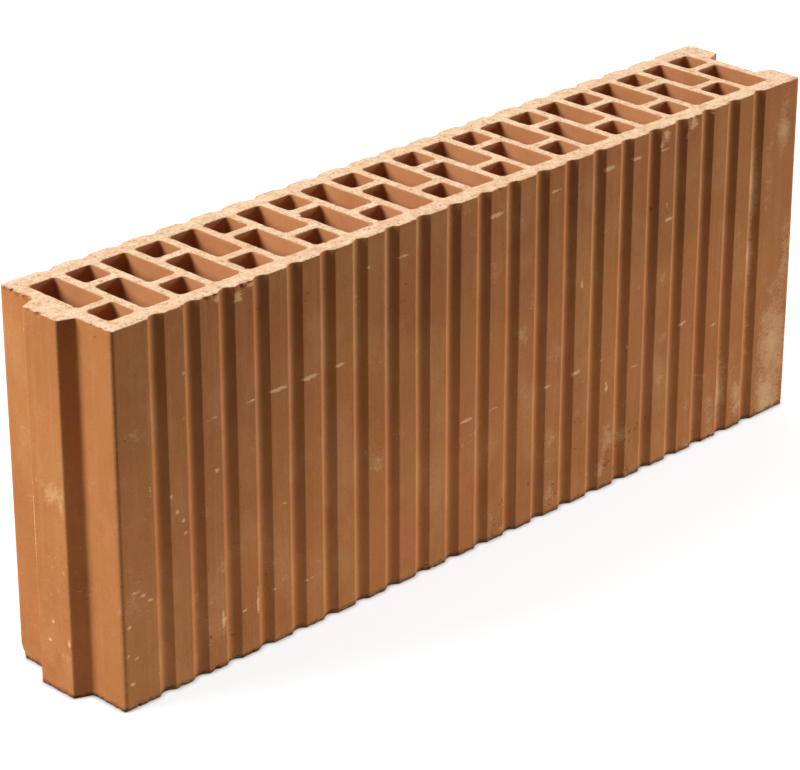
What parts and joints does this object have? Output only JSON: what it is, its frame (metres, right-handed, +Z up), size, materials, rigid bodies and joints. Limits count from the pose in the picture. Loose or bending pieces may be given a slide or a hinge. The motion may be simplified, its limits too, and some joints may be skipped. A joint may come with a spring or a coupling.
{
  "type": "hollow clay partition block",
  "caption": "Hollow fired-clay partition block with upright cells, ground beds, plaster keys on both long faces, and a tongue and a groove on its ends.",
  "frame": {"origin": "middle of the lower bed, measured over the tongue", "axes": "+X along the block from the tongue end to the groove end, +Y through its thickness, +Z up along the cells"},
  "size_m": [0.509, 0.08, 0.199],
  "materials": {
    "fired_clay": "matt, fired, with ground bed faces"
  },
  "bodies": {
    "root": {"clay_block": "fired_clay"}
  },
  "joints": []
}
